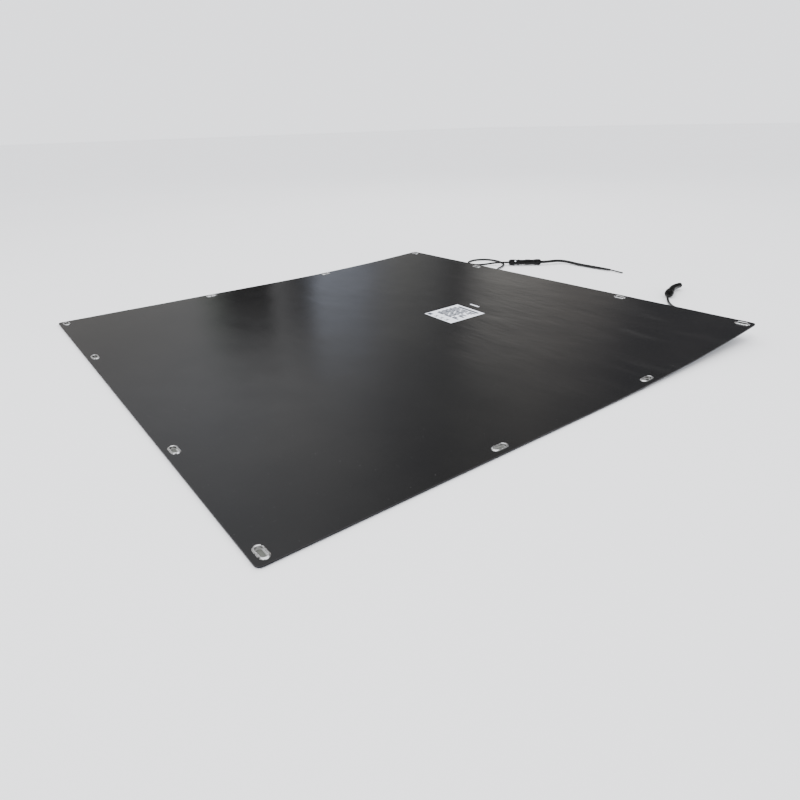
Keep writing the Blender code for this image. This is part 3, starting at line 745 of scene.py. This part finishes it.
def make_eyelets(steel):
    for number, (x, y, heading) in enumerate(eyelet_places(), start=1):
        piece(
            f"eyelet_rim_{number:02d}", eyelet_mesh(number), steel,
            matrix=on_sheet(x, y, heading), stands_for=f"eyelet_{number:02d}",
        )
        NODES[f"eyelet_washer_{number:02d}"].data.materials[0] = steel


# ---- labels -------------------------------------------------------------------------------------
def film_patch(bm, size, centre, box, low, high):
    """A thin closed patch on the skin; box holds x0, x1, y0, y1 in fractions of the label."""
    turn = Matrix.Rotation(math.radians(LABEL_TURN), 2)
    x0, x1, y0, y1 = box
    columns = max(1, round((x1 - x0) * size[0] / FILM_CELL))
    rows = max(1, round((y1 - y0) * size[1] / FILM_CELL))
    layers = []
    for level in (low, high):
        layer = []
        for row in range(rows + 1):
            line = []
            for column in range(columns + 1):
                along = x0 + (x1 - x0) * column / columns
                across = y0 + (y1 - y0) * row / rows
                flat = turn @ Vector(((along - 0.5) * size[0], (across - 0.5) * size[1]))
                spot = flat + Vector(centre)
                line.append(bm.verts.new((spot.x, spot.y, skin_height(spot.x, spot.y) + level)))
            layer.append(line)
        layers.append(layer)
    under, over = layers
    for row in range(rows):
        for column in range(columns):
            corners = ((row, column), (row, column + 1), (row + 1, column + 1), (row + 1, column))
            bm.faces.new([over[r][c] for r, c in corners])
            bm.faces.new([under[r][c] for r, c in reversed(corners)])
    rim = [(0, c) for c in range(columns)] + [(r, columns) for r in range(rows)]
    rim += [(rows, c) for c in range(columns, 0, -1)] + [(r, 0) for r in range(rows, 0, -1)]
    for (r0, c0), (r1, c1) in zip(rim, rim[1:] + rim[:1]):
        bm.faces.new((under[r0][c0], under[r1][c1], over[r1][c1], over[r0][c0]))


def make_labels(film):
    whole = (0.0, 1.0, 0.0, 1.0)
    labels = (
        ("rating_film", "rating_label", RATING_LABEL_SIZE, RATING_LABEL_AT),
        ("serial_film", "serial_label", SERIAL_LABEL_SIZE, SERIAL_LABEL_AT),
    )
    for name, node, size, centre in labels:
        bm = bmesh.new()
        film_patch(bm, size, centre, whole, LABEL_GAP, LABEL_GAP + LABEL_THICKNESS)
        piece(name, mesh_from(bm, name), film, stands_for=node)


def make_label_print(ink):
    """Plain bars and blocks in place of lettering, as thin prints that follow the label."""
    bm = bmesh.new()
    low = LABEL_GAP + LABEL_THICKNESS + PRINT_GAP
    high = low + PRINT_THICKNESS

    def bar(x0, x1, y0, y1):
        film_patch(bm, RATING_LABEL_SIZE, RATING_LABEL_AT, (x0, x1, y0, y1), low, high)

    bar(0.865, 0.930, 0.10, 0.84)
    for row in range(PRINT_ROWS):
        x = 0.785 - row * 0.058
        thick = 0.048 if row % 3 == 0 else 0.040
        ragged = 0.05 * (row % 3)
        bar(x, x + thick, 0.64 - ragged, 0.90 - 0.04 * (row % 2))
        bar(x, x + thick, 0.38 - 0.03 * (row % 2), 0.60 - ragged)
        if row % 4 != 3:
            bar(x, x + thick, 0.10 + ragged, 0.33 - 0.02 * (row % 4))
    bar(0.035, 0.135, 0.82, 0.96)
    for block in range(3):
        y = 0.60 - block * 0.20
        bar(0.045, 0.065, y, y + 0.11)
        bar(0.110, 0.130, y, y + 0.11)
        bar(0.078, 0.098, y + 0.02, y + 0.08)
    piece("label_print", mesh_from(bm, "label_print"), ink)


# ---- junction boxes --------------------------------------------------------------------------------
def box_base_mesh(inner):
    """Flange, walls with ribs down two sides, and the boss that the lead comes out of."""
    flange = rounded_box("flange", (BOX_LENGTH, BOX_WIDTH, 0.0019), (0, 0, 0.0013), 0.0006)
    foot = 0.0004
    wall_depth = BOX_BASE_DEPTH - foot
    walls = rounded_box("walls", (*inner, wall_depth), (0, 0, foot + wall_depth / 2), 0.0022, 4)
    reach = inner[0] / 2
    ribs = []
    for side in (-1, 1):
        for place in BOX_RIBS:
            at = (side * (reach + 0.0004), place + BOX_RIB_SHIFT * (side > 0), 0.0068)
            ribs.append(rounded_box("rib", (0.0016, 0.0012, 0.009), at, 0.0004, 2))
    boss = turned_mesh("boss", (
        (reach - 0.001, 0.0), (reach - 0.001, 0.0055), (reach + 0.003, 0.0055, True),
        (reach + 0.0085, 0.0050, True), (reach + 0.0102, 0.0044), (reach + 0.0102, 0.0031),
        (reach + 0.0080, 0.0031), (reach + 0.0080, 0.0),
    ), ribs=10, groove=0.0006)
    boss.transform(Matrix.Translation((0, 0, BOSS_DEPTH)) @ Matrix.Rotation(math.radians(90), 4, "Y"))
    return merged("box_shell", [flange, walls, boss, *ribs])


def box_cover_mesh(inner):
    """The lid with a raised panel."""
    low = BOX_BASE_DEPTH + FIT_GAP
    depth = BOX_DEPTH - low
    size = (inner[0] + 0.001, inner[1] + 0.001, depth)
    lid = rounded_box("lid", size, (0, 0, low + depth / 2), 0.0017, 4)
    panel = rounded_box("panel", (0.040, 0.052, 0.0008), (0, 0, BOX_DEPTH - 0.0003), 0.0003, 2)
    return merged("box_cover", [lid, panel])


def make_boxes(base_plastic, lid_plastic):
    inner = (BOX_LENGTH - 2 * BOX_WALL_INSET, BOX_WIDTH - 2 * BOX_WALL_INSET)
    for letter, y in BOX_Y.items():
        down = on_sheet(BOX_X, y, facing=-1.0)
        piece(f"box_shell_{letter}", box_base_mesh(inner), base_plastic,
              matrix=down, stands_for=f"junction_box_base_{letter}")
        piece(f"box_cover_{letter}", box_cover_mesh(inner), lid_plastic,
              matrix=down, stands_for=f"junction_box_lid_{letter}")


# ---- connectors ------------------------------------------------------------------------------------
def nut_mesh(name, radius):
    """A gland nut with grip ribs, domed towards the lead."""
    bore = THREAD_RADIUS + 0.0004
    return turned_mesh(name, (
        (NUT_LENGTH, bore), (NUT_LENGTH, radius - 0.0006), (NUT_LENGTH - 0.0007, radius),
        (0.0150, radius, True), (0.0100, radius, True), (0.0065, radius, True),
        (0.0045, radius * 0.96, True), (0.0022, radius * 0.87), (0.0007, radius * 0.74),
        (0.0, radius * 0.62), (0.0, 0.0042), (0.0010, 0.0036), (0.0050, 0.0036), (0.0050, bore),
    ), steps=144, closed=True, ribs=12, groove=0.0009)


def socket_mesh(name, neck):
    """Socket housing: thread in the nut, waisted collar, neck with a seal groove."""
    waist = COLLAR_RADIUS - 0.0009
    groove = neck - 0.0004
    return turned_mesh(name, (
        (SOCKET_FRONT, 0.0048), (SOCKET_FRONT, neck - 0.0005), (SOCKET_FRONT - 0.0005, neck),
        (0.0460, neck), (0.0455, groove), (0.0435, groove), (0.0430, neck), (SOCKET_COLLAR_END, neck),
        (SOCKET_COLLAR_END, COLLAR_RADIUS - 0.0006), (SOCKET_COLLAR_END - 0.0006, COLLAR_RADIUS),
        (0.0300, COLLAR_RADIUS), (0.0270, waist), (0.0240, waist), (0.0215, COLLAR_RADIUS),
        (0.0190, COLLAR_RADIUS), (NUT_LENGTH + FIT_GAP, COLLAR_RADIUS - 0.0005),
        (NUT_LENGTH + FIT_GAP, THREAD_RADIUS), (0.0055, THREAD_RADIUS), (0.0055, 0.0036),
        (0.028, 0.0036), (0.028, 0.0048),
    ), steps=96, closed=True)


def plug_mesh(name):
    """Plug housing: waisted collar and the thread for its nut."""
    rear = PLUG_REAR - 0.0055
    waist = COLLAR_RADIUS - 0.0009
    return turned_mesh(name, (
        (rear, 0.0026), (rear, THREAD_RADIUS), (PLUG_COLLAR_END, THREAD_RADIUS),
        (PLUG_COLLAR_END, COLLAR_RADIUS - 0.0005), (PLUG_COLLAR_END - 0.0006, COLLAR_RADIUS),
        (0.0830, COLLAR_RADIUS), (0.0800, waist), (0.0700, waist), (0.0670, COLLAR_RADIUS),
        (PLUG_FRONT + 0.0006, COLLAR_RADIUS), (PLUG_FRONT, COLLAR_RADIUS - 0.0005),
        (PLUG_FRONT, 0.0044), (0.0316, 0.0044), (0.0310, 0.0040), (0.0310, 0.0026),
    ), steps=96, closed=True)


def in_short_steps(profile, spacing):
    """The same profile with points added along its long runs."""
    result = [profile[0]]
    for start, end in zip(profile, profile[1:]):
        count = max(1, math.ceil(abs(end[0] - start[0]) / spacing))
        for step in range(1, count + 1):
            part = step / count
            result.append(tuple(a + (b - a) * part for a, b in zip(start, end)))
    return result


def cap_mesh(name):
    """A soft cap, straight over the socket and bent to one side beyond it."""
    grip = NECK_RADIUS["b"] + 0.0004
    lip = SOCKET_COLLAR_END + FIT_GAP
    front = SOCKET_FRONT + 2 * FIT_GAP
    inner_end = CAP_END - 0.006
    mesh = turned_mesh(name, in_short_steps((
        (CAP_END, 0.0), (CAP_END, 0.0052), (CAP_END - 0.0004, 0.0064), (CAP_END - 0.0016, 0.0072),
        (0.1060, 0.0074), (0.0900, 0.0077), (0.0750, 0.0080), (0.0600, 0.0084), (0.0480, 0.0086),
        (0.0405, 0.0087), (0.0400, 0.0092), (0.0385, 0.0092), (0.0380, 0.0087),
        (SOCKET_COLLAR_END + 0.0008, 0.0088), (lip, 0.0084), (lip, grip), (front, grip),
        (front, 0.0040), (inner_end, 0.0036), (inner_end, 0.0),
    ), CAP_STEP), steps=72)
    for vert in mesh.vertices:
        run = vert.co.z - CAP_BEND_START
        if run > 0.0:
            reach = CAP_BEND_RADIUS + vert.co.x
            vert.co.x = reach * math.cos(run / CAP_BEND_RADIUS) - CAP_BEND_RADIUS
            vert.co.z = CAP_BEND_START + reach * math.sin(run / CAP_BEND_RADIUS)
    return mesh


def latch_mesh(name, sign):
    """A spring arm with a barb on its outer side."""
    middle = PLUG_FRONT - FIT_GAP - LATCH_SIZE[2] / 2
    arm = rounded_box("arm", LATCH_SIZE, (sign * LATCH_OFFSET, 0.0, middle), 0.0004)
    barb_place = (sign * (LATCH_OFFSET + 0.0005), 0.0, PLUG_FRONT - BARB_BACK)
    barb = rounded_box("barb", BARB_SIZE, barb_place, 0.00025, 2)
    return merged(name, [arm, barb])


def white_collar_dot(name, axis, material):
    """A small raised white dot on the socket's collar, turned towards the near upper side."""
    profile = []
    for step in range(DOT_RINGS + 1):
        angle = math.pi * step / DOT_RINGS
        height = DOT_FLATNESS * DOT_RADIUS * math.cos(angle)
        profile.append((height, DOT_RADIUS * math.sin(angle)))
    mesh = turned_mesh(name, profile, steps=2 * DOT_RINGS, smooth_angle=35.0)
    turned = Matrix.Rotation(math.radians(DOT_TURN), 4, "Z")
    out = turned @ Matrix.Translation((COLLAR_RADIUS - 0.0002, 0.0, 0.0))
    stand = Matrix.Rotation(math.radians(90), 4, "Y")
    place = axis @ Matrix.Translation((0.0, 0.0, DOT_AT)) @ out @ stand
    return piece(name, mesh, material, matrix=place)


def moulded(name, mesh, material, body, matrix, node):
    return piece(name, mesh, material, body, matrix, node)


def make_connectors(plastic, rubber, tinned, film):
    """Both connectors; returns the pieces that lie on each lead."""
    axes = {letter: axis_frame(SOCKET_AT[letter], SOCKET_HEADING[letter]) for letter in ("a", "b")}
    made = {}
    for letter, axis in axes.items():
        made[letter] = [
            moulded(f"gland_nut_{letter}", nut_mesh("gland_nut", NUT_RADIUS[letter]), plastic,
                    f"socket_nut_{letter}", axis, f"socket_nut_{letter}"),
            moulded(f"socket_shell_{letter}", socket_mesh("socket_shell", NECK_RADIUS[letter]), plastic,
                    SHEET_BODY, axis, f"socket_housing_{letter}"),
        ]
    axis = axes["a"]
    flip = Matrix.Translation((0, 0, PLUG_REAR)) @ Matrix.Rotation(math.pi, 4, "X")
    made["tail"] = [
        moulded("plug_shell", plug_mesh("plug_shell"), plastic, "plug", axis, "plug_housing"),
        moulded("plug_gland_nut", nut_mesh("plug_gland_nut", NUT_RADIUS["a"]), plastic,
                "plug_nut", axis @ flip, "plug_nut"),
    ]
    for side, sign in (("left", 1.0), ("right", -1.0)):
        made["a"].append(moulded(
            f"latch_arm_{side}", latch_mesh(f"latch_arm_{side}", sign), plastic,
            f"plug_latch_{side}", axis, f"plug_latch_{side}",
        ))
    # a small raised white dot on the socket's collar
    made["a"].append(white_collar_dot("white_collar_dot", axis, film))
    made["b"].append(piece("rubber_cap", cap_mesh("rubber_cap"), rubber, "dust_cap",
                           axes["b"], "dust_cap"))
    for node in ("plug_pin", "socket_contact"):
        NODES[node].data.materials[0] = tinned
    return made


# ---- stage -----------------------------------------------------------------------------------------
# Soft cards round the object: (azimuth in degrees from +X, brightness and tint), low and high.
LOW_CARDS = (
    (0, (0.10, 0.10, 0.10)), (14, (0.10, 0.10, 0.11)), (21, (0.12, 0.12, 0.12)),
    (23, (0.22, 0.21, 0.21)), (25.5, (0.46, 0.43, 0.41)), (30, (0.58, 0.54, 0.51)),
    (35, (0.69, 0.66, 0.63)), (40, (0.73, 0.71, 0.67)), (43, (0.46, 0.45, 0.44)),
    (44.4, (0.12, 0.12, 0.12)), (46, (0.13, 0.13, 0.13)), (48, (0.24, 0.24, 0.24)),
    (53, (0.34, 0.34, 0.33)), (56.5, (0.38, 0.39, 0.43)), (58, (0.47, 0.50, 0.58)),
    (63.5, (0.56, 0.60, 0.70)), (65, (0.10, 0.10, 0.11)), (67, (0.09, 0.09, 0.09)),
    (68.5, (0.36, 0.36, 0.37)), (70, (0.03, 0.03, 0.03)), (75, (0.03, 0.03, 0.03)),
    (77.5, (0.26, 0.28, 0.26)), (79.5, (0.45, 0.45, 0.45)), (92, (0.43, 0.42, 0.41)),
    (140, (0.50, 0.50, 0.50)), (190, (0.16, 0.16, 0.16)), (250, (0.40, 0.40, 0.42)),
    (300, (0.20, 0.20, 0.20)), (360, (0.10, 0.10, 0.10)),
)
HIGH_CARDS = (
    (0, (0.16, 0.16, 0.17)), (22, (0.16, 0.16, 0.17)), (34, (0.33, 0.32, 0.31)),
    (45, (0.23, 0.23, 0.23)), (52, (0.28, 0.28, 0.29)), (60, (0.49, 0.49, 0.50)),
    (70, (0.66, 0.66, 0.67)), (80, (0.70, 0.71, 0.74)), (95, (0.61, 0.61, 0.63)),
    (150, (0.50, 0.50, 0.50)), (200, (0.30, 0.30, 0.30)), (260, (0.50, 0.50, 0.50)),
    (320, (0.25, 0.25, 0.25)), (360, (0.16, 0.16, 0.17)),
)
CARD_RADIUS = 3.2
CARD_TOP = 5.0
CARD_STEPS = 120
CARD_BLEND = (0.72, 1.64)  # the low cards turn into the high ones between these heights
SHADE_END = 0.26          # X up to where the floor is greyed; beyond it the sheet stands off the floor
FLOOR_SIZE = 30.0
FLOOR_DROP = 0.0002


def card_ramp(tree, cards, turn):
    """The cards' colour at a share of a whole turn."""
    return ramp_node(tree, turn, [(azimuth / 360, colour) for azimuth, colour in cards])


def card_material():
    """Light of the cards, by azimuth and height."""
    material = bpy.data.materials.new("studio_cards")
    material.use_nodes = True
    tree = material.node_tree
    tree.nodes.clear()
    place = tree.nodes.new("ShaderNodeNewGeometry").outputs["Position"]
    split = tree.nodes.new("ShaderNodeSeparateXYZ")
    tree.links.new(place, split.inputs["Vector"])
    angle = math_node(tree, "ARCTAN2", split.outputs["Y"], split.outputs["X"])
    turn = math_node(tree, "DIVIDE", math_node(tree, "WRAP", angle, math.tau, 0.0), math.tau)
    rise = range_node(tree, split.outputs["Z"], 0.0, 1.0, *CARD_BLEND, kind="SMOOTHSTEP")
    colour = mix_node(tree, rise, card_ramp(tree, LOW_CARDS, turn), card_ramp(tree, HIGH_CARDS, turn))
    glow = tree.nodes.new("ShaderNodeEmission")
    tree.links.new(colour, glow.inputs["Color"])
    output = tree.nodes.new("ShaderNodeOutputMaterial")
    tree.links.new(glow.outputs[0], output.inputs["Surface"])
    return material


def make_cards():
    """A ring of soft cards that only the gloss of the sheet sees."""
    bm = bmesh.new()
    rings = []
    for height in (0.0, CARD_TOP):
        ring = []
        for step in range(CARD_STEPS):
            angle = math.tau * step / CARD_STEPS
            place = (CARD_RADIUS * math.cos(angle), CARD_RADIUS * math.sin(angle), height)
            ring.append(bm.verts.new(place))
        rings.append(ring)
    bridge(bm, rings)
    mesh = bpy.data.meshes.new("studio_cards")
    bm.to_mesh(mesh)
    bm.free()
    mesh.materials.append(card_material())
    ring = link(bpy.data.objects.new("studio_cards", mesh))
    ring.visible_camera = False
    ring.visible_diffuse = False
    ring.visible_shadow = False
    ring.visible_transmission = False


def painted_shadow_under_sheet(shader):
    """1 on the floor below the flat part of the sheet, where a shadow is painted, which only its eyelet
    holes show; 0 elsewhere.
    """
    edge = EYELET_INSET / 2
    inside = []
    for axis, start, end in (
        ("X", -LENGTH / 2 + edge, SHADE_END), ("Y", -WIDTH / 2 + edge, WIDTH / 2 - edge)
    ):
        offset = shader.math("SUBTRACT", shader.along(axis), (start + end) / 2)
        inside.append(shader.math("LESS_THAN", shader.math("ABSOLUTE", offset), (end - start) / 2))
    return shader.math("MULTIPLY", *inside)


def make_floor():
    bm = bmesh.new()
    bmesh.ops.create_grid(bm, x_segments=1, y_segments=1, size=FLOOR_SIZE)
    mesh = bpy.data.meshes.new("floor")
    bm.to_mesh(mesh)
    bm.free()
    shader = Shader("pale_floor", (0.90, 0.90, 0.90), 0.9, specular=0.1)
    pale = shader.ramp(shader.noise(2.0), ((0.3, (0.895, 0.895, 0.895)), (0.7, (0.905, 0.905, 0.905))))
    # painted shadow: the floor below the flat part of the sheet is dark grey (0.14) instead of pale
    shader.colour(shader.mixed(painted_shadow_under_sheet(shader), pale, (0.14, 0.145, 0.13)))
    mesh.materials.append(shader.material)
    floor = link(bpy.data.objects.new("floor", mesh))
    floor.location.z = -FLOOR_DROP
    floor.visible_glossy = False


def area_light(name, place, side, power):
    """A square soft light that points at the origin and doesn't show in the gloss."""
    data = bpy.data.lights.new(name, "AREA")
    data.shape = "SQUARE"
    data.size = side
    data.energy = power
    light = link(bpy.data.objects.new(name, data))
    light.location = place
    light.rotation_euler = (-Vector(place)).to_track_quat("-Z", "Y").to_euler()
    light.visible_camera = False
    light.visible_glossy = False


def make_stage():
    world = bpy.data.worlds.new("studio")
    world.use_nodes = True
    background = world.node_tree.nodes["Background"]
    background.inputs["Color"].default_value = (0.95, 0.96, 1.0, 1.0)
    background.inputs["Strength"].default_value = 2.0
    bpy.context.scene.world = world
    make_floor()
    make_cards()
    area_light("soft_key", (-1.2, -0.8, 2.6), 2.4, 52.0)
    area_light("soft_fill", (1.8, 1.6, 2.4), 2.0, 26.0)


# ---- the object ------------------------------------------------------------------------------------
def make_leads(jacket):
    """Each cord's object and points, and those of the core that the tail ends in."""
    return {
        "a": lead("lead_a_jacket", ROUTE_A, LEAD_DIAMETER, "lead_a", SHEET_BODY, jacket),
        "b": lead("lead_b_jacket", ROUTE_B, LEAD_DIAMETER, "lead_b", SHEET_BODY, jacket),
        "tail": lead("tail_jacket", ROUTE_TAIL, TAIL_DIAMETER, "tail_lead", "plug", jacket,
                     taper=TAIL_TAPER, thin=TAIL_THIN),
        "core": lead("tail_core", ROUTE_CONDUCTOR, CONDUCTOR_DIAMETER, "tail_conductor", "plug", jacket),
    }


def declare_leads(leads, connectors):
    for letter in ("a", "b"):
        on_it = connectors[letter]
        if letter == "a":
            on_it = on_it + [NODES["socket_contact"]]
    on_it = connectors["tail"] + [NODES["plug_pin"], leads["core"][0]]


def dress_nodes(materials):
    """Procedural materials for the CAD nodes that stay."""
    for name, material in materials.items():
        NODES[name].data.materials[0] = material


make_camera()
JACKET = jacket_material()
TINNED = tinned_material()
LEADS = make_leads(JACKET)
CONNECTOR_PLASTIC = plastic_material("connector_plastic", 0.0045, 0.30, 900.0)
RUBBER = plastic_material("cap_rubber", 0.0055, 0.40, 1300.0)
LABEL = label_material()
CONNECTORS = make_connectors(CONNECTOR_PLASTIC, RUBBER, TINNED, LABEL)
declare_leads(LEADS, CONNECTORS)
make_back_skin(back_sheet_material())
STEEL = steel_material()
make_eyelets(STEEL)
make_labels(LABEL)
make_label_print(ink_material())
BOX_PLASTIC = plastic_material("box_plastic", 0.016, 0.42, 700.0)
LID_PLASTIC = plastic_material("lid_plastic", 0.013, 0.34, 800.0)
make_boxes(BOX_PLASTIC, LID_PLASTIC)
SUN_FILM = sun_film_material()
INNER_FILM = plastic_material("encapsulant", 0.020, 0.40, 300.0)
CELL_GLASS = plastic_material("solar_cell", 0.012, 0.20, 500.0)
dress_nodes({
    "front_sheet": SUN_FILM,
    "front_encapsulant": INNER_FILM, "rear_encapsulant": INNER_FILM,
    "bus_ribbon_1": TINNED, "bus_ribbon_2": TINNED,
    "bypass_diode_a": BOX_PLASTIC, "bypass_diode_b": BOX_PLASTIC,
    **{f"cell_string_{number}": CELL_GLASS for number in range(1, 7)},
})
make_stage()
